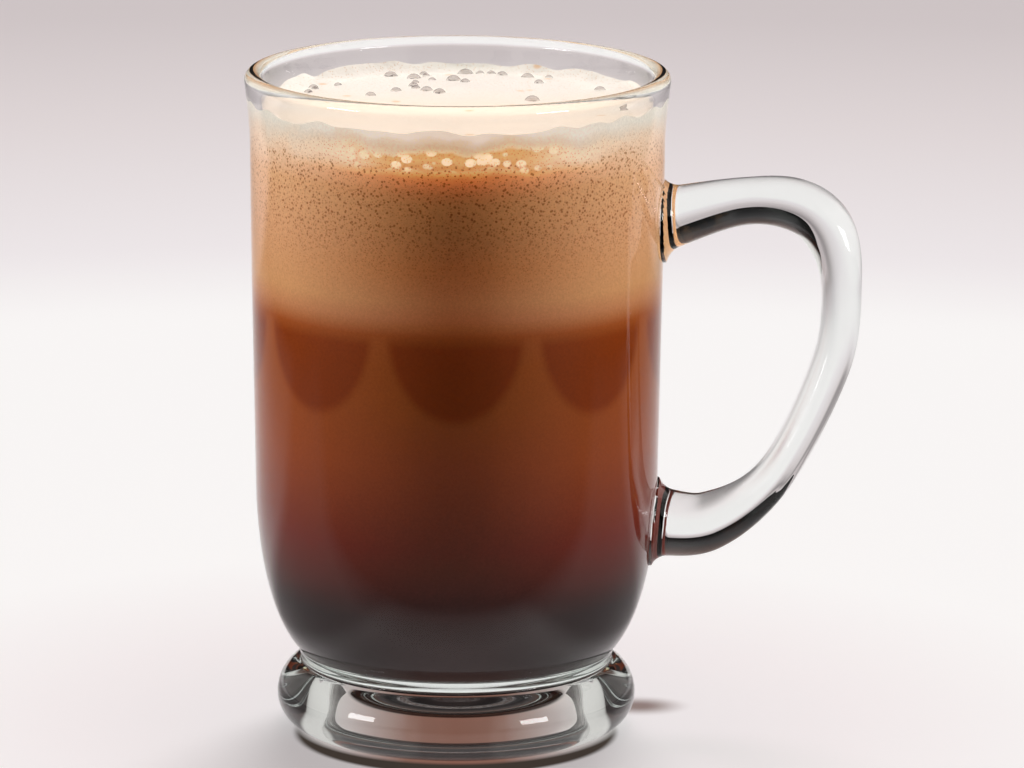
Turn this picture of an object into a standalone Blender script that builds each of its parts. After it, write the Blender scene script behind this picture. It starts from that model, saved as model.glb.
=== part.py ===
"""A footed glass mug with its ear handle, filled with nitro cold brew coffee.

The mug is one solid of pressed glass. The drink stands in it in four layers, from the floor of
the bowl up: near-black coffee, brown coffee, tan foam, and pale froth with large bubbles on top.
Units are metres. The origin is the middle of the flat base, +Z is up, and the handle is at +X.
"""

import math
import random

import bmesh
import bpy
from mathutils import Vector, noise

MM = 0.001

# Mug, outside
MUG_HEIGHT = 131.0 * MM
LIP_RADIUS = 41.5 * MM
LIP_BEAD = 1.75 * MM
WALL_TOP = (40.45 * MM, 116.0 * MM)
WALL_CURVE = ((39.75 * MM, 66.0 * MM), (40.35 * MM, 92.0 * MM))
WALL_FOOT = (39.5 * MM, 48.0 * MM)
BOWL_CURVE = ((35.2 * MM, 20.2 * MM), (39.1 * MM, 31.0 * MM))
NECK = (30.5 * MM, 15.5 * MM)
FOOT_RADIUS = 35.35 * MM
FOOT_MIDDLE = 7.0 * MM
FOOT_ROUNDING = 7.0 * MM
CONTACT_RADIUS = 30.3 * MM
GROOVE = (21.0 * MM, 26.0 * MM)
GROOVE_DEPTH = 0.9 * MM

# Mug, inside
INSIDE_TOP = (37.55 * MM, 120.0 * MM)
INSIDE_FOOT = (36.5 * MM, 52.0 * MM)
FLOOR_EDGE = (25.0 * MM, 18.4 * MM)
FLOOR_MIDDLE = 17.6 * MM
MUG_SEGMENTS = 56

# Handle: where its middle line runs in the XZ plane, and how thick it is there
HANDLE_LINE = (
    (38.6 * MM, 101.3 * MM, 12.4 * MM),
    (55.0 * MM, 105.2 * MM, 8.8 * MM),
    (66.1 * MM, 104.6 * MM, 9.9 * MM),
    (72.6 * MM, 99.4 * MM, 10.2 * MM),
    (75.1 * MM, 88.9 * MM, 8.0 * MM),
    (73.3 * MM, 72.8 * MM, 7.6 * MM),
    (62.4 * MM, 50.5 * MM, 7.3 * MM),
    (49.7 * MM, 41.2 * MM, 11.1 * MM),
    (37.6 * MM, 41.2 * MM, 13.4 * MM),
)
HANDLE_WIDTH = 13.6 * MM
HANDLE_SQUARENESS = 2.7
HANDLE_SIDES = 14
HANDLE_STEPS = 4
ROOT_FILLET = 3.4 * MM
ROOT_SKIRT = 0.15
ROOT_STEPS = 10

# Drink
GAP = 0.3 * MM
DARK_TOP = 32.0 * MM
BROWN_TOP = 86.5 * MM
FOAM_TOP = 118.0 * MM
FROTH_LEVEL = 124.5 * MM
CLIMB = 2.0 * MM
CLIMB_WIDTH = 4.0 * MM
SWELL = 0.5 * MM
SWELL_LENGTH = 11.0 * MM

# Bubbles standing on the froth: most are at the back, near the glass
BUBBLES = 30
BUBBLE_RADII = (0.9 * MM, 2.1 * MM)
BUBBLE_RING = (12.0 * MM, 34.0 * MM)
BUBBLE_CROWDING = 3.0
BUBBLE_SPREAD = math.radians(48)
BUBBLE_SUNK = 0.5
BUBBLE_SEED = 7

# Colour, roughness and share of light let through, for each material
FINISHES = {
    "clear_glass": ((0.90, 0.94, 0.92), 0.02, 1.0),
    "dark_coffee": ((0.030, 0.016, 0.014), 0.12, 0.0),
    "brown_coffee": ((0.155, 0.045, 0.018), 0.14, 0.0),
    "tan_foam": ((0.46, 0.255, 0.115), 0.45, 0.0),
    "pale_froth": ((0.83, 0.69, 0.52), 0.5, 0.0),
}
SHARP_ANGLE = math.radians(40)


def cubic(start, first, second, end, count):
    """Points on a cubic curve of (radius, height), leaving out its start."""
    points = []
    for i in range(1, count + 1):
        t = i / count
        weights = ((1 - t) ** 3, 3 * (1 - t) ** 2 * t, 3 * (1 - t) * t ** 2, t ** 3)
        corners = (start, first, second, end)
        points.append(tuple(sum(w * c[axis] for w, c in zip(weights, corners)) for axis in (0, 1)))
    return points


def arc(centre, across, along, start, end, count):
    """Points on an arc of an ellipse, from start to end in degrees, leaving out its start."""
    points = []
    for i in range(1, count + 1):
        angle = math.radians(start + (end - start) * i / count)
        points.append((centre[0] + across * math.cos(angle), centre[1] + along * math.sin(angle)))
    return points


def outside_outline():
    """The mug's outline from the middle of its base, round the foot and up to the lip."""
    groove_middle = sum(GROOVE) / 2
    groove_half = (GROOVE[1] - GROOVE[0]) / 2
    outline = [(0.0, 0.0), (GROOVE[0], 0.0)]
    outline += arc((groove_middle, 0.0), groove_half, GROOVE_DEPTH, 180, 0, 4)
    outline.append((CONTACT_RADIUS, 0.0))
    outline += arc((CONTACT_RADIUS, FOOT_MIDDLE), FOOT_RADIUS - CONTACT_RADIUS, FOOT_MIDDLE, -90, 0, 5)
    shoulder = (FOOT_RADIUS - FOOT_ROUNDING, FOOT_MIDDLE)
    outline += arc(shoulder, FOOT_ROUNDING, FOOT_ROUNDING, 0, 68, 5)
    outline += cubic(outline[-1], (30.0 * MM, 13.9 * MM), (29.7 * MM, 14.7 * MM), NECK, 3)
    outline += cubic(NECK, *BOWL_CURVE, WALL_FOOT, 9)
    outline += cubic(WALL_FOOT, *WALL_CURVE, WALL_TOP, 3)
    lip_side = (LIP_RADIUS, MUG_HEIGHT - LIP_BEAD)
    outline += cubic(WALL_TOP, (40.45 * MM, 121.0 * MM), (41.15 * MM, 125.5 * MM), lip_side, 4)
    return outline


def inside_outline():
    """The mug's outline from the inner side of the lip down to the middle of the bowl's floor."""
    lip_side = (LIP_RADIUS - 2 * LIP_BEAD, MUG_HEIGHT - LIP_BEAD)
    outline = [lip_side]
    outline += cubic(lip_side, (38.0 * MM, 126.5 * MM), (37.6 * MM, 123.0 * MM), INSIDE_TOP, 3)
    outline += cubic(INSIDE_TOP, (37.5 * MM, 97.0 * MM), (36.7 * MM, 72.0 * MM), INSIDE_FOOT, 4)
    outline += cubic(INSIDE_FOOT, (36.2 * MM, 34.0 * MM), (33.0 * MM, 21.5 * MM), FLOOR_EDGE, 8)
    outline += cubic(FLOOR_EDGE, (17.0 * MM, 18.0 * MM), (8.0 * MM, FLOOR_MIDDLE), (0.0, FLOOR_MIDDLE), 2)
    return outline


def mug_outline():
    bead_centre = (LIP_RADIUS - LIP_BEAD, MUG_HEIGHT - LIP_BEAD)
    bead = arc(bead_centre, LIP_BEAD, LIP_BEAD, 0, 180, 8)
    return outside_outline() + bead[:-1] + inside_outline()


def drink_wall():
    """The side of the drink from the floor up: the inside of the bowl, moved in by the gap."""
    inside = inside_outline()[::-1]
    wall = []
    for i, (radius, height) in enumerate(inside):
        before = Vector(inside[max(i - 1, 0)])
        after = Vector(inside[min(i + 1, len(inside) - 1)])
        along = (after - before).normalized()
        wall.append((max(radius - GAP * along.y, 0.0), height + GAP * along.x))
    return wall


def at_height(wall, height):
    """The point of the drink's side at one height."""
    for (r0, z0), (r1, z1) in zip(wall, wall[1:]):
        if z0 <= height <= z1:
            return (r0 + (r1 - r0) * (height - z0) / (z1 - z0), height)
    raise ValueError(f"the drink's side doesn't reach {height}")


def side_between(low, high):
    """The drink's side from one height to another."""
    wall = drink_wall()
    between = [point for point in wall if low < point[1] < high]
    return [at_height(wall, low)] + between + [at_height(wall, high)]


def turned(name, outline, finish):
    """A solid of revolution about Z. The outline starts and ends on the axis."""
    mesh = bpy.data.meshes.new(name)
    bm = bmesh.new()
    points = [bm.verts.new((radius, 0.0, height)) for radius, height in outline]
    edges = [bm.edges.new(pair) for pair in zip(points, points[1:])]
    bmesh.ops.spin(
        bm, geom=points + edges, cent=(0, 0, 0), axis=(0, 0, 1),
        angle=math.tau, steps=MUG_SEGMENTS, use_merge=True,
    )
    bmesh.ops.remove_doubles(bm, verts=bm.verts, dist=0.001 * MM)
    bmesh.ops.recalc_face_normals(bm, faces=bm.faces)
    bm.to_mesh(mesh)
    bm.free()
    return placed(name, mesh, finish)


def placed(name, mesh, finish):
    """The object of a mesh, with smooth shading and its material."""
    mesh.shade_smooth()
    mesh.set_sharp_from_angle(angle=SHARP_ANGLE)
    mesh.materials.append(material(finish))
    obj = bpy.data.objects.new(name, mesh)
    bpy.context.scene.collection.objects.link(obj)
    return obj


def material(name):
    found = bpy.data.materials.get(name)
    if found:
        return found
    colour, roughness, clear = FINISHES[name]
    made = bpy.data.materials.new(name)
    made.use_nodes = True
    made.diffuse_color = (*colour, 1.0)
    shader = made.node_tree.nodes["Principled BSDF"]
    shader.inputs["Base Color"].default_value = (*colour, 1.0)
    shader.inputs["Roughness"].default_value = roughness
    shader.inputs["Metallic"].default_value = 0.0
    shader.inputs["Transmission Weight"].default_value = clear
    return made


def handle_stations():
    """Places along the handle's middle line, on a curve through HANDLE_LINE: each is (x, z, thickness)."""
    line = [Vector(point) for point in HANDLE_LINE]
    line = [2 * line[0] - line[1]] + line + [2 * line[-1] - line[-2]]
    spans = list(zip(line, line[1:], line[2:], line[3:]))
    stations = []
    for span, (a, b, c, d) in enumerate(spans):
        steps = ROOT_STEPS if span in (0, len(spans) - 1) else HANDLE_STEPS
        for i in range(steps):
            t = i / steps
            stations.append(
                0.5 * (2 * b + (c - a) * t + (2 * a - 5 * b + 4 * c - d) * t ** 2
                       + (3 * b - a - 3 * c + d) * t ** 3)
            )
    return stations + [line[-2]]


def section(thickness):
    """A rounded oblong across the handle, as (outwards, sideways) offsets."""
    points = []
    for i in range(HANDLE_SIDES):
        angle = math.tau * (i + 0.5) / HANDLE_SIDES
        across, along = math.cos(angle), math.sin(angle)
        points.append((
            math.copysign(abs(across) ** (2 / HANDLE_SQUARENESS), across) * thickness / 2,
            math.copysign(abs(along) ** (2 / HANDLE_SQUARENESS), along) * HANDLE_WIDTH / 2,
        ))
    return points


def wall_radius(height):
    """The mug's outer radius at one height of its side."""
    side = cubic(NECK, *BOWL_CURVE, WALL_FOOT, 9) + cubic(WALL_FOOT, *WALL_CURVE, WALL_TOP, 3)
    for (r0, z0), (r1, z1) in zip(side, side[1:]):
        if z0 <= height <= z1:
            return r0 + (r1 - r0) * (height - z0) / (z1 - z0)
    raise ValueError(f"the mug's side doesn't reach {height}")


def fillet(point):
    """How far the root's fillet widens the handle at a point of its surface, by the wall's distance."""
    from_wall = math.hypot(point.x, point.y) - wall_radius(point.z)
    if from_wall >= ROOT_FILLET:
        return 0.0
    inwards = ROOT_FILLET - max(from_wall, ROOT_SKIRT * ROOT_FILLET)
    return ROOT_FILLET - math.sqrt(ROOT_FILLET ** 2 - inwards ** 2)


def handle():
    """The ear handle, from inside the wall at its upper root to inside the wall at its lower one."""
    stations = handle_stations()
    places = [Vector((x, 0.0, z)) for x, z, _ in stations]
    mesh = bpy.data.meshes.new("handle")
    bm = bmesh.new()
    loops = []
    for i, (place, station) in enumerate(zip(places, stations)):
        ahead = (places[min(i + 1, len(places) - 1)] - places[max(i - 1, 0)]).normalized()
        if i in (0, len(places) - 1):
            ahead = Vector((1.0 if i == 0 else -1.0, 0.0, 0.0))
        outwards = Vector((ahead.z, 0.0, -ahead.x))
        loop = []
        for out, side in section(station[2]):
            offset = outwards * out + Vector((0.0, side, 0.0))
            offset += offset.normalized() * fillet(place + offset)
            loop.append(bm.verts.new(place + offset))
        loops.append(loop)
    for near, far in zip(loops, loops[1:]):
        for i in range(HANDLE_SIDES):
            j = (i + 1) % HANDLE_SIDES
            bm.faces.new((near[i], near[j], far[j], far[i]))
    bm.faces.new(loops[0])
    bm.faces.new(loops[-1])
    bmesh.ops.recalc_face_normals(bm, faces=bm.faces)
    bm.to_mesh(mesh)
    bm.free()
    return placed("handle", mesh, "clear_glass")


def join(body, pieces, solver="EXACT"):
    """Fuses pieces to body by one union, and removes them."""
    group = bpy.data.collections.new(f"{body.name}_pieces")
    bpy.context.scene.collection.children.link(group)
    for piece in pieces:
        bpy.context.scene.collection.objects.unlink(piece)
        group.objects.link(piece)
    union = body.modifiers.new("union", "BOOLEAN")
    union.operation = "UNION"
    union.operand_type = "COLLECTION"
    union.collection = group
    union.solver = solver
    bpy.context.view_layer.update()
    with bpy.context.temp_override(object=body, active_object=body):
        bpy.ops.object.modifier_apply(modifier=union.name)
    for piece in pieces:
        bpy.data.objects.remove(piece)
    bpy.data.collections.remove(group)
    body.data.set_sharp_from_angle(angle=SHARP_ANGLE)


def glass_mug():
    mug = turned("glass_mug", mug_outline(), "clear_glass")
    join(mug, [handle()])
    return mug


def layer(name, low, high, finish):
    """A flat layer of the drink between two heights."""
    return turned(name, [(0.0, low)] + side_between(low, high) + [(0.0, high)], finish)


def dark_coffee():
    """The lowest layer, which follows the floor of the bowl."""
    wall = drink_wall()
    below = [point for point in wall if point[1] < DARK_TOP]
    outline = below + [at_height(wall, DARK_TOP), (0.0, DARK_TOP)]
    return turned("dark_coffee", outline, "dark_coffee")


def froth_height(x, y):
    """The froth's top: gently uneven, and climbing where it meets the glass."""
    radius = math.hypot(x, y)
    edge = at_height(drink_wall(), FROTH_LEVEL)[0]
    climb = max(0.0, 1 - (edge - radius) / CLIMB_WIDTH) ** 2
    uneven = noise.noise(Vector((x, y, 0.0)) / SWELL_LENGTH)
    ragged = 0.7 + 0.6 * noise.noise(Vector((x, y, 0.05)) / (0.5 * SWELL_LENGTH))
    return FROTH_LEVEL + SWELL * uneven + CLIMB * climb * ragged


def froth_body():
    side = side_between(FOAM_TOP + GAP, FROTH_LEVEL)
    edge = side[-1][0]
    rings = [edge * share for share in (0.965, 0.92, 0.82, 0.66, 0.48, 0.3, 0.14)]
    top = [(radius, FROTH_LEVEL) for radius in rings] + [(0.0, FROTH_LEVEL)]
    body = turned("froth", [(0.0, FOAM_TOP + GAP)] + side + top, "pale_froth")
    for vertex in body.data.vertices:
        if vertex.co.z > FROTH_LEVEL - GAP:
            vertex.co.z = froth_height(vertex.co.x, vertex.co.y)
    return body


def bubble_places():
    """Seeded places and radii of the large bubbles, clear of each other: (x, y, radius)."""
    draw = random.Random(BUBBLE_SEED)
    places = []
    while len(places) < BUBBLES:
        radius = BUBBLE_RADII[0] + (BUBBLE_RADII[1] - BUBBLE_RADII[0]) * draw.random() ** 2
        out = BUBBLE_RING[1] - (BUBBLE_RING[1] - BUBBLE_RING[0]) * draw.random() ** BUBBLE_CROWDING
        angle = draw.gauss(math.pi / 2, BUBBLE_SPREAD)
        x, y = out * math.cos(angle), out * math.sin(angle)
        if all(math.hypot(x - a, y - b) > 1.05 * (radius + other) for a, b, other in places):
            places.append((x, y, radius))
    return places


def bubble(number, x, y, radius):
    mesh = bpy.data.meshes.new(f"bubble_{number}")
    bm = bmesh.new()
    bmesh.ops.create_uvsphere(bm, u_segments=9, v_segments=6, radius=radius)
    sunk = froth_height(x, y) - BUBBLE_SUNK * radius
    bmesh.ops.translate(bm, verts=bm.verts, vec=(x, y, sunk))
    bm.to_mesh(mesh)
    bm.free()
    return placed(f"bubble_{number}", mesh, "pale_froth")


def froth():
    """The pale froth with its large bubbles fused on."""
    body = froth_body()
    join(body, [bubble(i, *place) for i, place in enumerate(bubble_places())])
    return body


def main():
    for obj in list(bpy.data.objects):
        bpy.data.objects.remove(obj)
    glass_mug()
    dark_coffee()
    layer("brown_coffee", DARK_TOP + GAP, BROWN_TOP, "brown_coffee")
    layer("tan_foam", BROWN_TOP + GAP, FOAM_TOP, "tan_foam")
    froth()


main()
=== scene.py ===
"""The looks of a footed glass mug filled with nitro cold brew coffee.

The mug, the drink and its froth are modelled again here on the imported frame's outlines, finely
enough for clear glass. Units are metres, +Z is up, and the handle is at +X. A point of an outline
is (radius, height), and a curve is the two middle corners of a cubic.
"""
import math
import random

import bmesh
import bpy
from mathutils import Matrix, Vector, noise

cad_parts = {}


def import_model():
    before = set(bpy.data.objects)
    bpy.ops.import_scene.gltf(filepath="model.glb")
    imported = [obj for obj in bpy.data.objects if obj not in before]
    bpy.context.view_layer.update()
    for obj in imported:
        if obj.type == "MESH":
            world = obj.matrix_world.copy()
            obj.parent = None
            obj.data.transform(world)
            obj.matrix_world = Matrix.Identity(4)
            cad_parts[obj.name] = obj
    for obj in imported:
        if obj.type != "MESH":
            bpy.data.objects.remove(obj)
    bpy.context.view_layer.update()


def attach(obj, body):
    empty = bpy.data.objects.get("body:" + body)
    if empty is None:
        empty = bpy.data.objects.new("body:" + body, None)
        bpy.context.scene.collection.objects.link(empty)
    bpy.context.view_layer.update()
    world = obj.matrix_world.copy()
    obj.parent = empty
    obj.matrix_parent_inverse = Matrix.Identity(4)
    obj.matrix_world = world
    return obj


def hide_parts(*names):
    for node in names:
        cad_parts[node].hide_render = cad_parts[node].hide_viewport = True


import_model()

MM = 0.001


def grey(value):
    return (value, value, value)


# Mug, outside, from the lip down to the hollow under the foot
MUG_HEIGHT = 131.0 * MM
LIP_RADIUS = 41.5 * MM
LIP_BEAD = 1.75 * MM
LIP_CURVE = ((40.45 * MM, 121.0 * MM), (41.15 * MM, 125.5 * MM))
WALL_TOP = (40.45 * MM, 116.0 * MM)
WALL_CURVE = ((39.75 * MM, 66.0 * MM), (40.35 * MM, 92.0 * MM))
WALL_FOOT = (39.5 * MM, 48.0 * MM)
BOWL_CURVE = ((35.2 * MM, 20.2 * MM), (39.1 * MM, 31.0 * MM))
NECK = (31.1 * MM, 16.2 * MM)
NECK_CURVE = ((29.8 * MM, 13.45 * MM), (31.1 * MM, 14.8 * MM))
FOOT_RADIUS = 35.35 * MM
FOOT_MIDDLE = 6.7 * MM
FOOT_ROUNDING = 7.5 * MM
FOOT_ROUNDING_DEGREES = 63.3
CONTACT_RADIUS = 28.6 * MM
HOLLOW_RADIUS = 25.7 * MM
HOLLOW_HEIGHT = 8.7 * MM
HOLLOW_SQUARENESS = 7.6

# Mug, inside, from the lip down to the floor of the bowl
INSIDE_LIP_CURVE = ((38.0 * MM, 126.5 * MM), (37.6 * MM, 123.0 * MM))
INSIDE_TOP = (37.55 * MM, 120.0 * MM)
INSIDE_WALL_CURVE = ((37.5 * MM, 97.0 * MM), (36.7 * MM, 72.0 * MM))
INSIDE_FOOT = (36.5 * MM, 52.0 * MM)
INSIDE_BOWL_CURVE = ((36.2 * MM, 34.0 * MM), (33.0 * MM, 21.2 * MM))
BOWL_FLOOR_EDGE = (23.0 * MM, 18.4 * MM)
BOWL_FLOOR_CURVE = ((17.0 * MM, 17.75 * MM), (8.0 * MM, 17.4 * MM))
BOWL_FLOOR_MIDDLE = (0.0, 17.4 * MM)

# Handle: where its middle line runs in the XZ plane, and how thick it is there
HANDLE_LINE = (
    (38.6 * MM, 101.3 * MM, 12.4 * MM),
    (55.0 * MM, 105.2 * MM, 8.8 * MM),
    (66.1 * MM, 104.6 * MM, 9.9 * MM),
    (72.6 * MM, 99.4 * MM, 10.2 * MM),
    (75.1 * MM, 88.9 * MM, 8.0 * MM),
    (73.3 * MM, 72.8 * MM, 7.6 * MM),
    (62.4 * MM, 50.5 * MM, 7.3 * MM),
    (49.7 * MM, 41.2 * MM, 11.1 * MM),
    (37.6 * MM, 41.2 * MM, 13.4 * MM),
)
HANDLE_WIDTH = 13.6 * MM
HANDLE_SQUARENESS = 2.7
ROOT_FILLET = 3.4 * MM
ROOT_SKIRT = 0.08

# Drink
SUNK_IN_WALL = 0.15 * MM
DARK_TOP = 32.15 * MM
BROWN_TOP = 86.65 * MM
FOAM_TOP = 118.15 * MM

# Froth: its gentle swell, and how it climbs the glass by a share that varies round the mug
FROTH_LEVEL = 124.5 * MM
FROTH_LEVEL_SLACK = 0.1 * MM
FROTH_TOP_SLOPE = 0.3
SWELL = 0.5 * MM
SWELL_LENGTH = 11.0 * MM
CLIMB = 2.0 * MM
CLIMB_WIDTH = 4.0 * MM
CLIMB_SHARE = 0.7
CLIMB_SHARE_SWING = 0.6
CLIMB_LENGTH = SWELL_LENGTH / 2
CLIMB_NOISE_HEIGHT = 50 * MM

# Bubbles standing on the froth, where the frame has them
BUBBLES = 30
BUBBLE_RADII = (0.9 * MM, 2.1 * MM)
BUBBLE_RING = (12.0 * MM, 34.0 * MM)
BUBBLE_CROWDING = 3.0
BUBBLE_SPREAD = math.radians(48)
BUBBLE_CLEARANCE = 1.05
BUBBLE_SUNK = 0.5
BUBBLE_SEED = 7
BUBBLE_FILM = 0.07 * MM

# Craters under the bubbles, in shares of a bubble's radius, and how deep in one its painted shade
# begins
CRATER_DEPTH = 0.75
CRATER_WIDTH = 0.92
CRATER_SHADE_FROM = 0.25

# How finely the pieces are modelled
FINE = 3
MUG_SEGMENTS = 224
HANDLE_SIDES = 44
HANDLE_STEPS = 12
ROOT_STEPS = 44
DRINK_SEGMENTS = 256
FROTH_RINGS = 110
BUBBLE_SEGMENTS = 28
BUBBLE_RINGS = 16
FLOOR_SEGMENTS = 96
MERGE_DISTANCE = 0.001 * MM
SHARP_ANGLE = math.radians(40)

# The drink's own colour by height in millimetres, and its painted glow at the front and back
DRINK_SHADES = (
    (18, (0.020, 0.010, 0.010)), (29, (0.022, 0.011, 0.011)), (31.5, (0.045, 0.014, 0.012)),
    (35.7, (0.10, 0.020, 0.015)), (43.6, (0.18, 0.024, 0.014)), (59.8, (0.32, 0.064, 0.014)),
    (79.8, (0.365, 0.084, 0.013)), (85.9, (0.40, 0.10, 0.022)), (89.3, (0.62, 0.27, 0.12)),
    (92.5, (0.72, 0.37, 0.165)), (104, (0.77, 0.42, 0.225)), (114, (0.84, 0.49, 0.27)),
    (120, (0.97, 0.72, 0.54)), (125, (0.93, 0.86, 0.77)),
)
# Painted glow: light from the sides that comes out through the drink at its front and back, and low
# down a faint painted reflection
DRINK_PAINTED_GLOW = (
    (18, (0.020, 0.013, 0.013)), (27, (0.028, 0.018, 0.017)), (30, (0.030, 0.017, 0.016)),
    (33, (0.020, 0.010, 0.009)), (40, (0.028, 0.012, 0.008)), (47, (0.030, 0.011, 0.007)),
    (60, (0.038, 0.010, 0.005)), (72, (0.044, 0.012, 0.002)), (85.2, (0.046, 0.010, 0.001)),
    (89, (0.078, 0.012, 0.0)), (93.5, (0.062, 0.006, 0.0)), (100, (0.030, 0.0, 0.0)),
    (106, (0.002, 0.0, 0.0)), (111.7, (0.004, 0.0, 0.0)), (113.7, (0.055, 0.0, 0.0)),
    (115.3, (0.165, 0.012, 0.0)), (116.7, (0.31, 0.05, 0.0)), (117.7, (0.50, 0.225, 0.045)),
    (118.7, (0.57, 0.34, 0.17)), (119.7, (0.69, 0.51, 0.34)), (120.5, (0.74, 0.56, 0.35)),
    (121.7, (0.66, 0.44, 0.22)), (123, (0.41, 0.25, 0.12)), (124.5, (0.51, 0.36, 0.26)),
    (125, (0.61, 0.48, 0.39)),
)
GLOW_SPREAD = 4.0

# Painted amber shade of the front and back, over a band of heights in millimetres that fades at
# both ends
FRONT_PAINTED_SHADE = (1.0, 0.80, 0.50, 1.0)
FRONT_PAINTED_SHADE_BAND = (90, 100, 117, 119)

# Amber lobes that hang under the foam, evenly round the drink, with heights in millimetres
LOBES = 8
LOBE_HALF = math.radians(20.5)
LOBE_TOP = 86.5
LOBE_TOP_FADE = 3.5
LOBE_DEPTH = 18.0
LOBE_EDGE = (1.06, 0.88)
LOBE_TINT = (0.70, 0.50, 0.28, 1.0)

# Grain of the drink, and clouds that shift its shades up and down by millimetres
GRAIN_PER_MM = 2.2
GRAIN_SHADES = ((0.3, grey(0.86)), (0.7, grey(1.0)))
CLOUDS_PER_MM = 0.12
CLOUD_SHIFT = 7.0
CLOUD_SHIFT_FROM = (114, 121)
NOISE_DETAIL = 3.0

# Pale bubbles against the glass at the froth's lower edge: their rims and their hearts
PALE_SIZE = 2.5
PALE_STRETCH = (1.0, 1.0, 1.25)
PALE_BAND = (117.6, 118.8, 121.3, 122.3)
PALE_FACING = (0.40, 0.85)
PALE_RIM = (0.38, 0.48)
PALE_RIM_TINT = (0.80, 0.58, 0.34, 1.0)
PALE_HEART = (0.44, 0.26)
PALE_HEART_SHARE = 0.5
PALE_HEART_COLOUR = (0.95, 0.70, 0.45, 1.0)

# Fine dark bubbles in the foam: their size in millimetres, their band of heights and their tint
FINE_BUBBLES = (
    (0.85, (97, 110, 118, 120), (0.55, 0.40, 0.30, 1.0)),
    (0.5, (90, 103, 121, 124), (0.74, 0.60, 0.50, 1.0)),
)
FINE_BUBBLE_EDGE = (0.36, 0.20)

# Froth's top, and the stretches of Y in millimetres over which it changes towards the back
FROTH_FRONT_COLOUR = (0.93, 0.78, 0.64, 1.0)
FROTH_BACK_COLOUR = (0.86, 0.80, 0.73, 1.0)
FROTH_BACK_FROM = (-12, 22)
FROTH_CELLS_PER_MM = 0.75
FROTH_BUMP = 0.35
FROTH_BUMP_HEIGHT = 0.3 * MM
DENTS_PER_MM = 1.7
DENT_EDGE = (0.3, 0.12)
DENTS_FROM = (-8, 24)
DENT_SHARE = 0.7
DENT_RELIEF = 0.4
DENT_COLOUR = (0.62, 0.36, 0.18, 1.0)
SPOTS_PER_MM = 0.13
SPOT_EDGE = (0.16, 0.06)
SPOT_SHARE = 0.8
SPOT_COLOUR = (0.80, 0.52, 0.30, 1.0)
# Painted shade in the craters under the large bubbles
CRATER_PAINTED_SHADE = (0.26, 0.21, 0.19, 1.0)

# Clear glass and the bubbles' film, with what they let through as a shadow
GLASS_COLOUR = (1.0, 1.0, 1.0, 1.0)
GLASS_IOR = 1.5
GLASS_SHADOW = (0.9, 0.92, 0.91, 1.0)
GLASS_DEPTH_COLOUR = (0.2, 0.85, 0.65, 1.0)
GLASS_DEPTH_DENSITY = 2.5
FILM_COLOUR = (0.82, 0.80, 0.80, 1.0)
FILM_IOR = 1.06
FILM_SHADOW = (1.0, 1.0, 1.0, 1.0)

# Camera, as fitted to the rim and the foot in the photograph, with its lens in millimetres
CAMERA_PLACE = (10.8 * MM, -1411.2 * MM, 379.0 * MM)
CAMERA_PITCH = math.radians(12.406)
CAMERA_ROLL = math.radians(0.24)
CAMERA_LENS = 258.98
CAMERA_SENSOR = 36.0
CAMERA_CLIP = (0.05, 30.0)

# Floor: its painted shades by the distance from the mug, darker close to it and far off, and its
# painted glow
FLOOR_REACH = 4.0
FLOOR_DROP = 0.05 * MM
FLOOR_PAINTED_GLOW = 1.27
FLOOR_LIT = 0.6
FLOOR_PAINTED_SHADES = (
    (0.0, (0.83, 0.79, 0.80)), (0.04, (0.86, 0.82, 0.83)), (0.08, (0.92, 0.88, 0.89)),
    (0.14, (0.98, 0.98, 0.98)), (0.40, (0.98, 0.98, 0.98)), (0.48, (0.88, 0.85, 0.87)),
    (0.66, (0.77, 0.72, 0.73)), (0.84, (0.65, 0.60, 0.61)), (1.2, (0.58, 0.53, 0.54)),
)

# Sweep: the floor that the glass sees, which ends in the dark in front and at both sides
SWEEP_FRONT = 65 * MM
SWEEP_FRONT_FADE = 15 * MM
SWEEP_SIDE = 300 * MM
SWEEP_SIDE_FADE = 70 * MM
SWEEP_FAR = (300 * MM, 380 * MM)
SWEEP_SIDE_REACH = 450 * MM
SWEEP_SIDE_SHADES = (
    (0.0, grey(1.0)), (0.20, grey(0.97)), (0.30, grey(0.88)), (0.42, grey(0.70)),
    (0.52, grey(0.56)), (0.62, grey(0.56)), (1.0, grey(1.0)),
)
# Painted shade on the sweep close beside the mug
SWEEP_BESIDE = (90 * MM, 40 * MM)
SWEEP_BESIDE_FROM = (40 * MM, 60 * MM)
SWEEP_BESIDE_PAINTED_SHADE = (0.42, 0.42, 0.42, 1.0)
SWEEP_DARK = (0.02, 0.018, 0.018, 1.0)
SWEEP_BOUNCE = (0.25, 0.25, 0.25, 1.0)

# Floor under the foot, painted with brown light through the drink and shade at its back, and the
# shadows close to it
UNDER_FOOT = 31.5 * MM
UNDER_FOOT_FADE = 1.0 * MM
UNDER_FOOT_PAINTED_LIGHT = (
    (0.0, (0.40, 0.19, 0.14)), (0.3, (0.42, 0.22, 0.17)), (0.7, (0.80, 0.70, 0.68)),
    (1.0, (0.90, 0.87, 0.86)),
)
UNDER_BACK = (9.5 * MM, 14.0 * MM)
UNDER_BACK_PAINTED_SHADE = (0.10, 0.09, 0.09, 1.0)
CONTACT_SHADOW_CENTRE = (0.0, -7.0 * MM, 0.0)
CONTACT_SHADOW_EDGE = (30.5 * MM, 32.5 * MM)
CONTACT_SHADOW_COLOUR = (0.09, 0.07, 0.058, 1.0)
SIDE_SHADOW_CENTRE = (36.5 * MM, 13.0 * MM, 0.0)
SIDE_SHADOW_SIZE = (11.0 * MM, 8.5 * MM, 1.0)
SIDE_SHADOW_EDGE = (1.0, 0.1)
SIDE_SHADOW_TINT = (0.34, 0.27, 0.25, 1.0)

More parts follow.
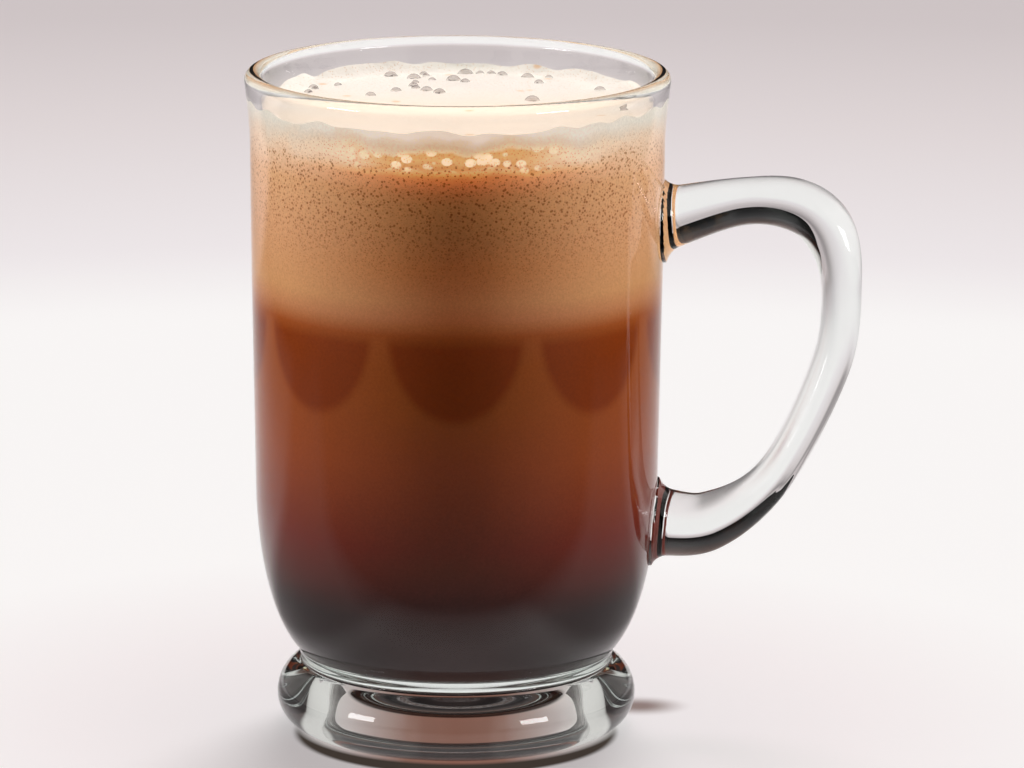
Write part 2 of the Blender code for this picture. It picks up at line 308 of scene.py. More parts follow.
# What the glass sees above the horizon, by the sine of the elevation, and softboxes at its sides
DARK_STUDIO = (
    (0.0, grey(0.008)), (0.06, grey(0.012)), (0.2, (0.045, 0.043, 0.044)),
    (0.45, (0.11, 0.068, 0.056)), (0.8, (0.14, 0.09, 0.075)),
)
SIDE_SOFTBOX = (0.70, 0.675, 0.65, 1.0)
SIDE_SOFTBOX_FROM = (0.40, 0.54)
SIDE_SOFTBOX_TOP = (0.75, 0.5)

# How often a matt surface has scattered the light that counts as bounced
BOUNCED_FROM = (0.4, 0.5)

# Lights, as azimuth and elevation in degrees, and strength
LIGHT_WIDTH = 20
LEFT_LIGHT = (-97, 22, 1.0)
RIGHT_LIGHT = (95, 22, 1.0)
TOP_LIGHT = (170, 65, 0.69)
LEFT_HIGHLIGHT_AZIMUTH = -62
RIGHT_HIGHLIGHT_AZIMUTH = 51
HIGHLIGHT_ELEVATION = 12
HIGHLIGHT_AIM = Vector((0.0, 0.0, 10.0 * MM))
HIGHLIGHT_DISTANCE = 0.8
HIGHLIGHT_SIZE = (0.26, 0.17)
HIGHLIGHT_RADIANCE = 12.0


def cubic(start, first, second, end, count):
    """Points on a cubic curve in count times FINE steps, leaving out its start."""
    steps = count * FINE
    corners = (start, first, second, end)
    points = []
    for i in range(1, steps + 1):
        t = i / steps
        weights = ((1 - t) ** 3, 3 * (1 - t) ** 2 * t, 3 * (1 - t) * t ** 2, t ** 3)
        points.append(tuple(sum(w * c[axis] for w, c in zip(weights, corners)) for axis in (0, 1)))
    return points


def arc(centre, across, along, start, end, count):
    """Points on an arc of an ellipse, from start to end in degrees, leaving out its start."""
    steps = count * FINE
    points = []
    for i in range(1, steps + 1):
        angle = math.radians(start + (end - start) * i / steps)
        points.append((centre[0] + across * math.cos(angle), centre[1] + along * math.sin(angle)))
    return points


def hollow_outline():
    """The hollow under the foot, from its middle to its edge on the floor."""
    steps = 12 * FINE
    power = 2 / HOLLOW_SQUARENESS
    outline = []
    for i in range(steps):
        turn = math.pi / 2 * i / steps
        radius = HOLLOW_RADIUS * math.sin(turn) ** power
        outline.append((radius, HOLLOW_HEIGHT * math.cos(turn) ** power))
    return outline + [(HOLLOW_RADIUS, 0.0)]


def outer_wall():
    """The outside of the bowl and the wall, from the neck up to below the lip."""
    bowl = cubic(NECK, *BOWL_CURVE, WALL_FOOT, count=9)
    return bowl + cubic(WALL_FOOT, *WALL_CURVE, WALL_TOP, count=3)


def outside_outline():
    """The mug's outline from the middle of its base, round the foot and up to the lip."""
    outline = hollow_outline() + [(CONTACT_RADIUS, 0.0)]
    contact = (CONTACT_RADIUS, FOOT_MIDDLE)
    outline += arc(contact, FOOT_RADIUS - CONTACT_RADIUS, FOOT_MIDDLE, -90, 0, count=5)
    shoulder = (FOOT_RADIUS - FOOT_ROUNDING, FOOT_MIDDLE)
    outline += arc(shoulder, FOOT_ROUNDING, FOOT_ROUNDING, 0, FOOT_ROUNDING_DEGREES, count=5)
    outline += cubic(outline[-1], *NECK_CURVE, NECK, count=3)
    outline += outer_wall()
    outline += cubic(WALL_TOP, *LIP_CURVE, (LIP_RADIUS, MUG_HEIGHT - LIP_BEAD), count=4)
    return outline


def inside_outline():
    """The mug's outline from the inner side of the lip down to the middle of the bowl's floor."""
    lip_side = (LIP_RADIUS - 2 * LIP_BEAD, MUG_HEIGHT - LIP_BEAD)
    outline = [lip_side]
    outline += cubic(lip_side, *INSIDE_LIP_CURVE, INSIDE_TOP, count=3)
    outline += cubic(INSIDE_TOP, *INSIDE_WALL_CURVE, INSIDE_FOOT, count=4)
    outline += cubic(INSIDE_FOOT, *INSIDE_BOWL_CURVE, BOWL_FLOOR_EDGE, count=8)
    outline += cubic(BOWL_FLOOR_EDGE, *BOWL_FLOOR_CURVE, BOWL_FLOOR_MIDDLE, count=2)
    return outline


def mug_outline():
    bead_centre = (LIP_RADIUS - LIP_BEAD, MUG_HEIGHT - LIP_BEAD)
    bead = arc(bead_centre, LIP_BEAD, LIP_BEAD, 0, 180, count=8)
    return outside_outline() + bead[:-1] + inside_outline()


def drink_wall():
    """The side of the drink from the floor up, just inside the glass so that no air shows."""
    inside = inside_outline()[::-1]
    wall = []
    for i, (radius, height) in enumerate(inside):
        before = Vector(inside[max(i - 1, 0)])
        after = Vector(inside[min(i + 1, len(inside) - 1)])
        along = (after - before).normalized()
        wall.append((max(radius + SUNK_IN_WALL * along.y, 0.0), height - SUNK_IN_WALL * along.x))
    return wall


def at_height(wall, height):
    """The point of an outline at one height."""
    for (r0, z0), (r1, z1) in zip(wall, wall[1:]):
        if z0 <= height <= z1:
            return (r0 + (r1 - r0) * (height - z0) / (z1 - z0), height)
    raise ValueError(f"the outline doesn't reach {height}")


def side_between(low, high):
    """The drink's side from one height to another."""
    wall = drink_wall()
    middle = [point for point in wall if low < point[1] < high]
    return [at_height(wall, low)] + middle + [at_height(wall, high)]


def in_scene(name, data):
    """A new object in the scene."""
    obj = bpy.data.objects.new(name, data)
    bpy.context.scene.collection.objects.link(obj)
    return obj


def placed(name, mesh):
    """A smooth piece in the scene, with its sharp edges kept."""
    mesh.shade_smooth()
    mesh.set_sharp_from_angle(angle=SHARP_ANGLE)
    return in_scene(name, mesh)


def turned(name, outline, segments):
    """A solid of revolution about Z. The outline starts and ends on the axis."""
    mesh = bpy.data.meshes.new(name)
    bm = bmesh.new()
    points = [bm.verts.new((radius, 0.0, height)) for radius, height in outline]
    edges = [bm.edges.new(pair) for pair in zip(points, points[1:])]
    bmesh.ops.spin(
        bm, geom=points + edges, cent=(0, 0, 0), axis=(0, 0, 1),
        angle=math.tau, steps=segments, use_merge=True,
    )
    bmesh.ops.remove_doubles(bm, verts=bm.verts, dist=MERGE_DISTANCE)
    bmesh.ops.recalc_face_normals(bm, faces=bm.faces)
    bm.to_mesh(mesh)
    bm.free()
    return placed(name, mesh)


def handle_stations():
    """Places along a Catmull-Rom curve through HANDLE_LINE: each is (x, z, thickness)."""
    line = [Vector(point) for point in HANDLE_LINE]
    line = [2 * line[0] - line[1]] + line + [2 * line[-1] - line[-2]]
    spans = list(zip(line, line[1:], line[2:], line[3:]))
    stations = []
    for span, (a, b, c, d) in enumerate(spans):
        steps = ROOT_STEPS if span in (0, len(spans) - 1) else HANDLE_STEPS
        for i in range(steps):
            t = i / steps
            stations.append(
                0.5 * (2 * b + (c - a) * t + (2 * a - 5 * b + 4 * c - d) * t ** 2
                       + (3 * b - a - 3 * c + d) * t ** 3)
            )
    return stations + [line[-2]]


def section(thickness):
    """A rounded oblong across the handle, as (outwards, sideways) offsets."""
    power = 2 / HANDLE_SQUARENESS
    points = []
    for i in range(HANDLE_SIDES):
        angle = math.tau * (i + 0.5) / HANDLE_SIDES
        across, along = math.cos(angle), math.sin(angle)
        points.append((
            math.copysign(abs(across) ** power, across) * thickness / 2,
            math.copysign(abs(along) ** power, along) * HANDLE_WIDTH / 2,
        ))
    return points


def fillet(point, wall):
    """How far the root's fillet widens the handle at a point, by its distance from the wall."""
    from_wall = math.hypot(point.x, point.y) - at_height(wall, point.z)[0]
    if from_wall >= ROOT_FILLET:
        return 0.0
    inwards = ROOT_FILLET - max(from_wall, ROOT_SKIRT * ROOT_FILLET)
    return ROOT_FILLET - math.sqrt(ROOT_FILLET ** 2 - inwards ** 2)


def handle():
    """The ear handle, from inside the wall at its upper root to inside it at its lower one."""
    wall = outer_wall()
    stations = handle_stations()
    places = [Vector((x, 0.0, z)) for x, z, _ in stations]
    last = len(places) - 1
    mesh = bpy.data.meshes.new("handle")
    bm = bmesh.new()
    loops = []
    for i, (place, station) in enumerate(zip(places, stations)):
        ahead = (places[min(i + 1, last)] - places[max(i - 1, 0)]).normalized()
        if i in (0, last):
            ahead = Vector((1.0 if i == 0 else -1.0, 0.0, 0.0))
        outwards = Vector((ahead.z, 0.0, -ahead.x))
        loop = []
        for out, side in section(station[2]):
            offset = outwards * out + Vector((0.0, side, 0.0))
            offset += offset.normalized() * fillet(place + offset, wall)
            loop.append(bm.verts.new(place + offset))
        loops.append(loop)
    for near, far in zip(loops, loops[1:]):
        for i in range(HANDLE_SIDES):
            j = (i + 1) % HANDLE_SIDES
            bm.faces.new((near[i], near[j], far[j], far[i]))
    bm.faces.new(loops[0])
    bm.faces.new(loops[-1])
    bmesh.ops.recalc_face_normals(bm, faces=bm.faces)
    bm.to_mesh(mesh)
    bm.free()
    return placed("handle", mesh)


def glass_mug():
    """The clear mug with its handle, as one solid."""
    mug = turned("clear_mug", mug_outline(), MUG_SEGMENTS)
    grip = handle()
    union = mug.modifiers.new("union", "BOOLEAN")
    union.operation = "UNION"
    union.solver = "EXACT"
    union.object = grip
    bpy.context.view_layer.update()
    with bpy.context.temp_override(object=mug, active_object=mug):
        bpy.ops.object.modifier_apply(modifier=union.name)
    bpy.data.objects.remove(grip)
    mug.data.set_sharp_from_angle(angle=SHARP_ANGLE)
    mug.data.materials.append(glass_finish())
    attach(mug, "root")
    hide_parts("glass_mug")
    return mug


def layer(name, low, high, node):
    """One layer of the drink between two heights, or from the bowl's floor up where low is None."""
    if low is None:
        wall = drink_wall()
        side = [point for point in wall if point[1] < high] + [at_height(wall, high)]
    else:
        side = [(0.0, low)] + side_between(low, high)
    body = turned(name, side + [(0.0, high)], DRINK_SEGMENTS)
    body.data.materials.append(drink_finish(name))
    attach(body, "root")
    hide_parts(node)
    return body


FROTH_EDGE = at_height(drink_wall(), FROTH_LEVEL)[0]


def froth_height(x, y):
    """The froth's top: gently uneven, and climbing where it meets the glass."""
    radius = math.hypot(x, y)
    climb = max(0.0, 1 - (FROTH_EDGE - radius) / CLIMB_WIDTH) ** 2
    uneven = noise.noise(Vector((x, y, 0.0)) / SWELL_LENGTH)
    swing = noise.noise(Vector((x, y, CLIMB_NOISE_HEIGHT)) / CLIMB_LENGTH)
    ragged = CLIMB_SHARE + CLIMB_SHARE_SWING * swing
    return FROTH_LEVEL + SWELL * uneven + CLIMB * climb * ragged


def bubble_places():
    """Seeded places and radii of the large bubbles, clear of each other: (x, y, radius)."""
    draw = random.Random(BUBBLE_SEED)
    smallest, largest = BUBBLE_RADII
    inner, outer = BUBBLE_RING
    places = []
    while len(places) < BUBBLES:
        radius = smallest + (largest - smallest) * draw.random() ** 2
        out = outer - (outer - inner) * draw.random() ** BUBBLE_CROWDING
        angle = draw.gauss(math.pi / 2, BUBBLE_SPREAD)
        x, y = out * math.cos(angle), out * math.sin(angle)
        if all(
            math.hypot(x - a, y - b) > BUBBLE_CLEARANCE * (radius + other)
            for a, b, other in places
        ):
            places.append((x, y, radius))
    return places


def crater_at(x, y, places):
    """How far in a crater a point of the froth is, from 0 to 1, and the radius of its bubble."""
    deep = 0.0
    wide = BUBBLE_RADII[0]
    for a, b, radius in places:
        share = 1 - math.hypot(x - a, y - b) / (CRATER_WIDTH * radius)
        if share > deep:
            deep, wide = share, radius
    return deep, wide


def froth():
    """The froth, with a crater under each large bubble, and painted shade where a crater is deep.
    """
    side = side_between(FOAM_TOP, FROTH_LEVEL)
    edge = side[-1][0]
    top = [(edge * (1 - i / FROTH_RINGS), FROTH_LEVEL) for i in range(1, FROTH_RINGS + 1)]
    body = turned("froth_body", [(0.0, FOAM_TOP)] + side + top, DRINK_SEGMENTS)
    places = bubble_places()
    hollow = {}
    for vertex in body.data.vertices:
        if vertex.co.z < FROTH_LEVEL - FROTH_LEVEL_SLACK:
            continue
        x, y, _ = vertex.co
        deep, wide = crater_at(x, y, places)
        vertex.co.z = froth_height(x, y) - CRATER_DEPTH * wide * math.sin(deep * math.pi / 2)
        hollow[vertex.index] = deep
    for finish in (drink_finish("froth_side"), froth_finish(), crater_shade_finish()):
        body.data.materials.append(finish)
    of_side, of_top, of_shaded_crater = range(3)
    for face in body.data.polygons:
        deep = sum(hollow.get(corner, 0.0) for corner in face.vertices) / len(face.vertices)
        # faces deep in a crater take the painted shade
        if deep > CRATER_SHADE_FROM:
            face.material_index = of_shaded_crater
        else:
            face.material_index = of_top if face.normal.z > FROTH_TOP_SLOPE else of_side
    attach(body, "root")
    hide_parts("froth")
    return body


def froth_bubbles():
    """The large bubbles' thin films, as shells that stand in their craters."""
    mesh = bpy.data.meshes.new("froth_bubbles")
    bm = bmesh.new()
    for x, y, radius in bubble_places():
        centre = Vector((x, y, froth_height(x, y) - BUBBLE_SUNK * radius))
        for shell, flip in ((radius, False), (radius - BUBBLE_FILM, True)):
            ball = bmesh.ops.create_uvsphere(
                bm, u_segments=BUBBLE_SEGMENTS, v_segments=BUBBLE_RINGS, radius=shell,
            )
            bmesh.ops.translate(bm, verts=ball["verts"], vec=centre)
            if flip:
                faces = list({face for vertex in ball["verts"] for face in vertex.link_faces})
                bmesh.ops.reverse_faces(bm, faces=faces)
    bm.to_mesh(mesh)
    bm.free()
    films = placed("froth_bubbles", mesh)
    films.data.materials.append(film_finish())
    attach(films, "root")
    return films


def new_material(name):
    made = bpy.data.materials.new(name)
    made.use_nodes = True
    return made, made.node_tree, made.node_tree.nodes["Principled BSDF"]


def nodes_for(tree):
    """A maker of nodes in one tree, which links the sockets and sets the values it is given."""
    def add(kind, inputs=None, **settings):
        made = tree.nodes.new("ShaderNode" + kind)
        for name, value in settings.items():
            setattr(made, name, value)
        for socket, value in (inputs or {}).items():
            target = made.inputs[socket]
            if isinstance(value, bpy.types.NodeSocket):
                tree.links.new(value, target)
            else:
                target.default_value = value
        return made
    return add


def worked_out(add, operation, *values):
    """Arithmetic on one or two values."""
    return add("Math", dict(enumerate(values)), operation=operation).outputs[0]


def times(add, first, second):
    return worked_out(add, "MULTIPLY", first, second)


def vector(add, operation, first, second):
    """Arithmetic on two vectors."""
    return add("VectorMath", {0: first, 1: second}, operation=operation).outputs[0]


def length(add, place):
    return add("VectorMath", {0: place}, operation="LENGTH").outputs["Value"]


def between(add, value, start, end, smooth=True):
    """How far a value is from start to end, from 0 to 1."""
    kind = "SMOOTHSTEP" if smooth else "LINEAR"
    inputs = {"Value": value, "From Min": start, "From Max": end}
    return add("MapRange", inputs, interpolation_type=kind).outputs["Result"]


def in_band(add, height, band):
    """1 over a band of heights, fading to 0 at both its ends."""
    low, full_from, full_to, high = band
    return times(add, between(add, height, low, full_from), between(add, height, high, full_to))


def tinted(add, factor, colour, tint):
    """A colour multiplied by a tint where factor is 1."""
    inputs = {"Factor": factor, "A": colour, "B": tint}
    return add("Mix", inputs, data_type="RGBA", blend_type="MULTIPLY").outputs["Result"]


def blended(add, factor, first, second):
    """The first colour where factor is 0, and the second where it is 1."""
    inputs = {"Factor": factor, "A": first, "B": second}
    return add("Mix", inputs, data_type="RGBA").outputs["Result"]


def ramp(add, factor, stops):
    """A colour ramp through (position, colour) stops."""
    made = add("ValToRGB", {"Fac": factor})
    elements = made.color_ramp.elements
    elements.remove(elements[0])
    for i, (position, colour) in enumerate(stops):
        stop = elements[0] if i == 0 else elements.new(position)
        stop.position = position
        stop.color = (*colour, 1.0)
    return made.outputs["Color"]


def within(add, value, reach, stops):
    """A colour by a value, through (share of reach, colour) stops."""
    return ramp(add, worked_out(add, "DIVIDE", value, reach), stops)


def by_height(add, height, stops):
    """A colour by height, through (millimetres, colour) stops."""
    low, high = stops[0][0], stops[-1][0]
    share = between(add, height, low, high, smooth=False)
    return ramp(add, share, [((level - low) / (high - low), colour) for level, colour in stops])


def noise_at(add, place, scale):
    """Soft noise from 0 to 1."""
    inputs = {"Vector": place, "Scale": scale, "Detail": NOISE_DETAIL}
    return add("TexNoise", inputs).outputs["Fac"]


def cells_at(add, place, scale, feature="F1"):
    """How far a point is from the middle of its cell, among cells scattered in space."""
    return add("TexVoronoi", {"Vector": place, "Scale": scale}, feature=feature).outputs["Distance"]


def in_millimetres(add):
    """Where a point of the piece is, in millimetres, as a vector and as its three parts."""
    place = add("TexCoord").outputs["Object"]
    place = add("VectorMath", {0: place, "Scale": 1 / MM}, operation="SCALE").outputs[0]
    return place, add("SeparateXYZ", {"Vector": place}).outputs


def clear_material(name, colour, ior, shadow):
    """A clear material that lets light through as a tinted shadow, and its node tree."""
    made, tree, shader = new_material(name)
    add = nodes_for(tree)
    shader.inputs["Base Color"].default_value = colour
    shader.inputs["Roughness"].default_value = 0.0
    shader.inputs["IOR"].default_value = ior
    shader.inputs["Transmission Weight"].default_value = 1.0
    passing = add("BsdfTransparent", {"Color": shadow}).outputs["BSDF"]
    shadow_ray = add("LightPath").outputs["Is Shadow Ray"]
    mix = add("MixShader", {"Fac": shadow_ray, 1: shader.outputs["BSDF"], 2: passing})
    tree.links.new(mix.outputs["Shader"], tree.nodes["Material Output"].inputs["Surface"])
    return made, tree


def glass_finish():
    """Clear glass, faintly green where it is thick."""
    made, tree = clear_material("clear_glass", GLASS_COLOUR, GLASS_IOR, GLASS_SHADOW)
    inputs = {"Color": GLASS_DEPTH_COLOUR, "Density": GLASS_DEPTH_DENSITY}
    tint = nodes_for(tree)("VolumeAbsorption", inputs).outputs["Volume"]
    tree.links.new(tint, tree.nodes["Material Output"].inputs["Volume"])
    return made


def film_finish():
    """A bubble's film: clear, so that its crater shows through."""
    made, _ = clear_material("bubble_film", FILM_COLOUR, FILM_IOR, FILM_SHADOW)
    return made


def lobes(add, axes):
    """Where the amber lobes are: rounded shapes that hang from the foam's underside."""
    around = worked_out(add, "ARCTAN2", axes["X"], axes["Y"])
    aside = worked_out(add, "PINGPONG", around, math.pi / LOBES)
    across = worked_out(add, "DIVIDE", aside, LOBE_HALF)
    half_down = between(add, axes["Z"], LOBE_TOP, LOBE_TOP - 2 * LOBE_DEPTH, smooth=False)
    reach = add("CombineXYZ", {"X": across, "Y": times(add, half_down, 2.0)}).outputs[0]
    inside = between(add, length(add, reach), *LOBE_EDGE)
    return times(add, inside, between(add, axes["Z"], LOBE_TOP, LOBE_TOP - LOBE_TOP_FADE))


def facing_out(add, axes):
    """How squarely a point of the drink's side faces the front or the back, from 0 to 1."""
    around = worked_out(add, "ARCTAN2", axes["Y"], axes["X"])
    sine = worked_out(add, "SINE", around)
    return worked_out(add, "POWER", times(add, sine, sine), GLOW_SPREAD / 2)


def pale_bubbles(add, place, level, facing):
    """Where the rims and the hearts of the pale bubbles are."""
    cells = cells_at(add, vector(add, "MULTIPLY", place, PALE_STRETCH), 1 / PALE_SIZE)
    shown = times(add, in_band(add, level, PALE_BAND), between(add, facing, *PALE_FACING))
    rims = times(add, between(add, cells, *PALE_RIM), shown)
    hearts = times(add, between(add, cells, *PALE_HEART), shown)
    return rims, hearts


def fine_bubbles(add, place, height, size, band):
    """Where the small dark bubbles of one size are, in a band of the foam."""
    dots = between(add, cells_at(add, place, 1 / size), *FINE_BUBBLE_EDGE)
    return times(add, dots, in_band(add, height, band))


def drink_finish(name):
    """Coffee and foam behind the glass: colour by height, lobes, bubbles, fine grain, painted shade
    and glow.
    """
    made, tree, shader = new_material(name)
    add = nodes_for(tree)
    place, axes = in_millimetres(add)
    height = axes["Z"]
    grain = ramp(add, noise_at(add, place, GRAIN_PER_MM), GRAIN_SHADES)
    swing = worked_out(add, "SUBTRACT", noise_at(add, place, CLOUDS_PER_MM), 0.5)
    level = worked_out(add, "ADD", times(add, swing, CLOUD_SHIFT), height)
    ragged = times(add, swing, between(add, height, *CLOUD_SHIFT_FROM))
    edge = worked_out(add, "ADD", times(add, ragged, CLOUD_SHIFT), height)
    facing = facing_out(add, axes)
    amber = lobes(add, axes)
    rims, hearts = pale_bubbles(add, place, level, facing)
    dark_marks = [
        (fine_bubbles(add, place, level, size, band), tint) for size, band, tint in FINE_BUBBLES
    ]

    def marked(colour):
        colour = tinted(add, amber, colour, LOBE_TINT)
        colour = tinted(add, 1.0, colour, grain)
        colour = tinted(add, rims, colour, PALE_RIM_TINT)
        colour = blended(add, times(add, hearts, PALE_HEART_SHARE), colour, PALE_HEART_COLOUR)
        for dots, tint in dark_marks:
            colour = tinted(add, dots, colour, tint)
        return colour

    shade = marked(by_height(add, edge, DRINK_SHADES))
    glow = marked(by_height(add, edge, DRINK_PAINTED_GLOW))
    # painted shade: the front and back of the foam darker and more amber than its sides
    painted_front_shade = times(add, facing, in_band(add, height, FRONT_PAINTED_SHADE_BAND))
    shade = tinted(add, painted_front_shade, shade, FRONT_PAINTED_SHADE)
    tree.links.new(shade, shader.inputs["Base Color"])
    # painted glow, strongest where the drink faces the front or the back
    tree.links.new(glow, shader.inputs["Emission Color"])
    tree.links.new(facing, shader.inputs["Emission Strength"])
    shader.inputs["Roughness"].default_value = 0.5
    shader.inputs["Specular IOR Level"].default_value = 0.1
    return made


def froth_finish():
    """The froth's top: cream, with small amber dents and a few larger amber spots."""
    made, tree, shader = new_material("froth")
    add = nodes_for(tree)
    place, axes = in_millimetres(add)
    back = between(add, axes["Y"], *FROTH_BACK_FROM)
    shade = blended(add, back, FROTH_FRONT_COLOUR, FROTH_BACK_COLOUR)
    small = cells_at(add, place, DENTS_PER_MM)
    dents = times(add, between(add, small, *DENT_EDGE), between(add, axes["Y"], *DENTS_FROM))
    shade = blended(add, times(add, dents, DENT_SHARE), shade, DENT_COLOUR)
    spots = between(add, cells_at(add, place, SPOTS_PER_MM), *SPOT_EDGE)
    shade = blended(add, times(add, spots, SPOT_SHARE), shade, SPOT_COLOUR)
    tree.links.new(shade, shader.inputs["Base Color"])
    shader.inputs["Roughness"].default_value = 0.32
    shader.inputs["Specular IOR Level"].default_value = 0.45
    cells = cells_at(add, place, FROTH_CELLS_PER_MM, "SMOOTH_F1")
    relief = worked_out(add, "ADD", cells, times(add, small, DENT_RELIEF))
    bump = add("Bump", {"Height": relief, "Strength": FROTH_BUMP, "Distance": FROTH_BUMP_HEIGHT})
    tree.links.new(bump.outputs["Normal"], shader.inputs["Normal"])
    return made


def crater_shade_finish():
    """Painted shade: the dark inside of a large bubble's crater."""
    made, _, shader = new_material("crater")
    shader.inputs["Base Color"].default_value = CRATER_PAINTED_SHADE
    shader.inputs["Roughness"].default_value = 0.4
    return made


def camera():
    data = bpy.data.cameras.new("camera")
    data.lens = CAMERA_LENS
    data.sensor_width = CAMERA_SENSOR
    data.clip_start, data.clip_end = CAMERA_CLIP
    obj = in_scene("camera", data)
    pitch = Matrix.Rotation(math.pi / 2 - CAMERA_PITCH, 4, "X")
    roll = Matrix.Rotation(CAMERA_ROLL, 4, "Z")
    obj.matrix_world = Matrix.Translation(CAMERA_PLACE) @ (pitch @ roll)
    bpy.context.scene.camera = obj


def sweep_colour(add, axes, aside, shade, rays):
    """The floor's shade as the glass bends and reflects it, and as it lights the mug."""
    front_edge = (-SWEEP_FRONT - SWEEP_FRONT_FADE, -SWEEP_FRONT + SWEEP_FRONT_FADE)
    side_edge = (SWEEP_SIDE + SWEEP_SIDE_FADE, SWEEP_SIDE - SWEEP_SIDE_FADE)
    front = between(add, axes["Y"], *front_edge, smooth=False)
    side = between(add, aside, *side_edge, smooth=False)
    side = worked_out(add, "MAXIMUM", side, between(add, axes["Y"], *SWEEP_FAR))
    # painted shade close beside the mug
    near = between(add, axes["Y"], *SWEEP_BESIDE)
    close = times(add, near, between(add, aside, *SWEEP_BESIDE_FROM))
    beside = within(add, aside, SWEEP_SIDE_REACH, SWEEP_SIDE_SHADES)
    beside = tinted(add, close, beside, SWEEP_BESIDE_PAINTED_SHADE)
    white = tinted(add, 1.0, shade, beside)
    colour = blended(add, times(add, front, side), SWEEP_DARK, white)
    bounced = between(add, rays["Diffuse Depth"], *BOUNCED_FROM)
    return tinted(add, bounced, colour, SWEEP_BOUNCE)


def shadowed(add, place, shade):
    """The floor's shade as the eye sees it, with its shadows close to the foot."""
    out = length(add, vector(add, "SUBTRACT", place, CONTACT_SHADOW_CENTRE))
    shade = blended(add, between(add, out, *CONTACT_SHADOW_EDGE), CONTACT_SHADOW_COLOUR, shade)
    moved = vector(add, "SUBTRACT", place, SIDE_SHADOW_CENTRE)
    out = length(add, vector(add, "DIVIDE", moved, SIDE_SHADOW_SIZE))
    return tinted(add, between(add, out, *SIDE_SHADOW_EDGE), shade, SIDE_SHADOW_TINT)


def floor_finish():
    """Pale to the eye, with the same painted shades all round, and a painted glow.

    What the glass bends and reflects is a white sweep in a dark studio, which ends shortly before
    the mug and at both its sides. Under the foot the floor has painted light, brown as if it came
    through the drink and paler at the sides, and painted shade at its back.
    """
    made, tree, _ = new_material("floor")
    add = nodes_for(tree)
    place = add("TexCoord").outputs["Object"]
    axes = add("SeparateXYZ", {"Vector": place}).outputs
    rays = add("LightPath").outputs
    away = length(add, place)
    aside = worked_out(add, "ABSOLUTE", axes["X"])
    # painted shade: darker close to the mug and far from it
    shades = [(distance / FLOOR_REACH, colour) for distance, colour in FLOOR_PAINTED_SHADES]
    shade = within(add, away, FLOOR_REACH, shades)
    bent = sweep_colour(add, axes, aside, shade, rays)
    colour = blended(add, rays["Is Camera Ray"], bent, shadowed(add, place, shade))
    # painted light under the foot, brown as if through the drink and paler at the sides, and
    # painted shade at its back
    under = within(add, aside, UNDER_FOOT, UNDER_FOOT_PAINTED_LIGHT)
    under = tinted(add, between(add, axes["Y"], *UNDER_BACK), under, UNDER_BACK_PAINTED_SHADE)
    foot_edge = (UNDER_FOOT - UNDER_FOOT_FADE, UNDER_FOOT + UNDER_FOOT_FADE)
    colour = blended(add, between(add, away, *foot_edge, smooth=False), under, colour)
    # painted glow, which stands in for the light on the floor
    glow = add("Emission", {"Color": colour, "Strength": FLOOR_PAINTED_GLOW}).outputs[0]
    lit = add("BsdfDiffuse", {"Color": colour}).outputs[0]
    both = add("MixShader", {"Fac": FLOOR_LIT, 1: glow, 2: lit}).outputs[0]
    tree.links.new(both, tree.nodes["Material Output"].inputs["Surface"])
    return made


def floor():
    """The surface that the mug stands on."""
    mesh = bpy.data.meshes.new("floor")
    bm = bmesh.new()
    bmesh.ops.create_circle(bm, cap_ends=True, segments=FLOOR_SEGMENTS, radius=FLOOR_REACH)
    bmesh.ops.translate(bm, verts=bm.verts, vec=(0.0, 0.0, -FLOOR_DROP))
    bm.to_mesh(mesh)
    bm.free()
    obj = placed("floor", mesh)
    obj.data.materials.append(floor_finish())


def world():
    """Pale to the eye, and dark above the horizon in what the glass bends and reflects."""
    made = bpy.data.worlds.new("studio")
    made.use_nodes = True
    bpy.context.scene.world = made
    tree = made.node_tree
    add = nodes_for(tree)
    parts = add("SeparateXYZ", {"Vector": add("TexCoord").outputs["Generated"]}).outputs
    rays = add("LightPath").outputs
    aside = between(add, worked_out(add, "ABSOLUTE", parts["X"]), *SIDE_SOFTBOX_FROM)
    softbox = times(add, aside, between(add, parts["Z"], *SIDE_SOFTBOX_TOP))
    direct = between(add, rays["Diffuse Depth"], *reversed(BOUNCED_FROM))
    dark = ramp(add, parts["Z"], DARK_STUDIO)
    bent = blended(add, times(add, softbox, direct), dark, SIDE_SOFTBOX)
    colour = blended(add, rays["Is Camera Ray"], bent, (*FLOOR_PAINTED_SHADES[-1][1], 1.0))
    tree.links.new(colour, tree.nodes["Background"].inputs["Color"])


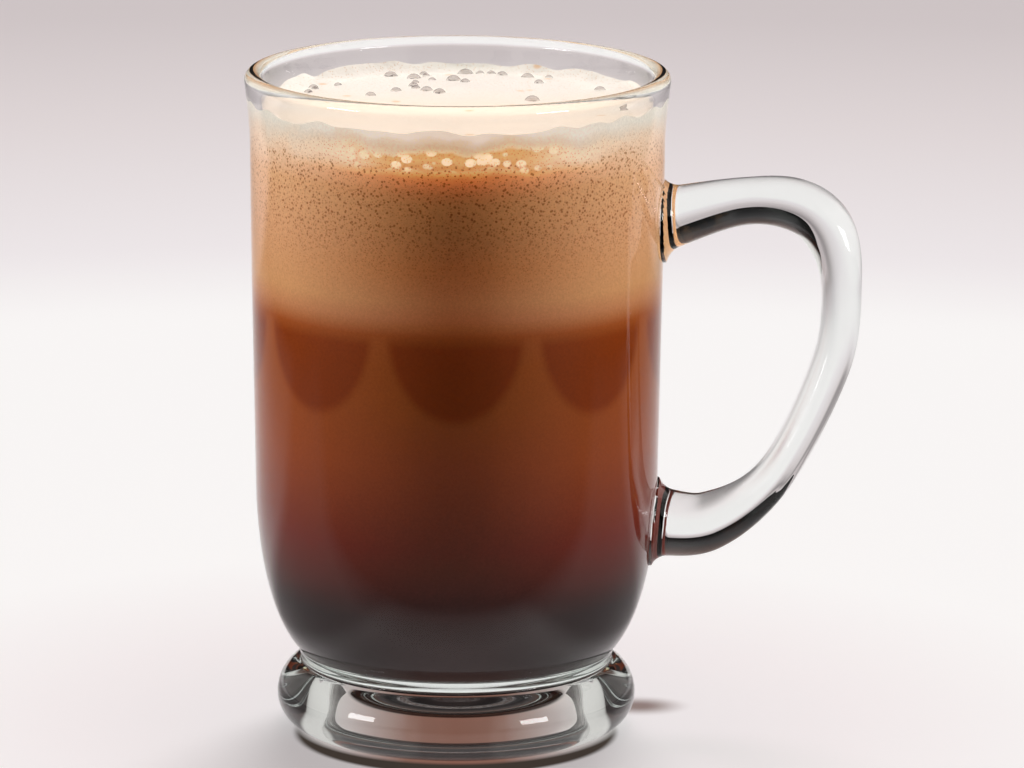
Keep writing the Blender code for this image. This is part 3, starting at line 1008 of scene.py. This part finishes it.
def towards(azimuth, elevation):
    """The direction of a place round the mug. Azimuth 0 is the photo's side, and 90 is at +X."""
    turn, rise = math.radians(azimuth), math.radians(elevation)
    flat = math.cos(rise)
    return Vector((math.sin(turn) * flat, -math.cos(turn) * flat, math.sin(rise)))


def light_from(name, data, away):
    """A light object that shines back from a direction."""
    obj = in_scene(name, data)
    obj.rotation_mode = "QUATERNION"
    obj.rotation_quaternion = away.to_track_quat("Z", "Y")
    return obj


def soft_light(name, azimuth, elevation, strength, receivers=None):
    """A wide, even light from far off, which the eye and the glass don't see."""
    data = bpy.data.lights.new(name, "SUN")
    data.energy = strength * math.pi
    data.angle = math.radians(LIGHT_WIDTH)
    obj = light_from(name, data, towards(azimuth, elevation))
    obj.visible_camera = obj.visible_glossy = obj.visible_transmission = False
    if receivers:
        obj.light_linking.receiver_collection = receivers


def highlight(name, azimuth):
    """A small softbox that only the glass reflects."""
    wide, tall = HIGHLIGHT_SIZE
    data = bpy.data.lights.new(name, "AREA")
    data.shape = "RECTANGLE"
    data.size, data.size_y = wide, tall
    data.energy = HIGHLIGHT_RADIANCE * math.pi * wide * tall
    away = towards(azimuth, HIGHLIGHT_ELEVATION)
    obj = light_from(name, data, away)
    obj.location = HIGHLIGHT_AIM + away * HIGHLIGHT_DISTANCE
    obj.visible_camera = obj.visible_diffuse = obj.visible_transmission = False


def lights(pieces):
    """Lights at both sides for the mug alone, one above for everything, and two highlights."""
    group = bpy.data.collections.new("lit_from_the_sides")
    for piece in pieces:
        group.objects.link(piece)
    soft_light("left_light", *LEFT_LIGHT, group)
    soft_light("right_light", *RIGHT_LIGHT, group)
    soft_light("top_light", *TOP_LIGHT)
    highlight("left_highlight", LEFT_HIGHLIGHT_AZIMUTH)
    highlight("right_highlight", RIGHT_HIGHLIGHT_AZIMUTH)


def main():
    camera()
    floor()
    world()
    lights([
        glass_mug(),
        layer("dark_coffee_body", None, DARK_TOP, "dark_coffee"),
        layer("brown_coffee_body", DARK_TOP, BROWN_TOP, "brown_coffee"),
        layer("foam_body", BROWN_TOP, FOAM_TOP, "tan_foam"),
        froth(),
        froth_bubbles(),
    ])
    bpy.context.scene.view_settings.view_transform = "Standard"


main()
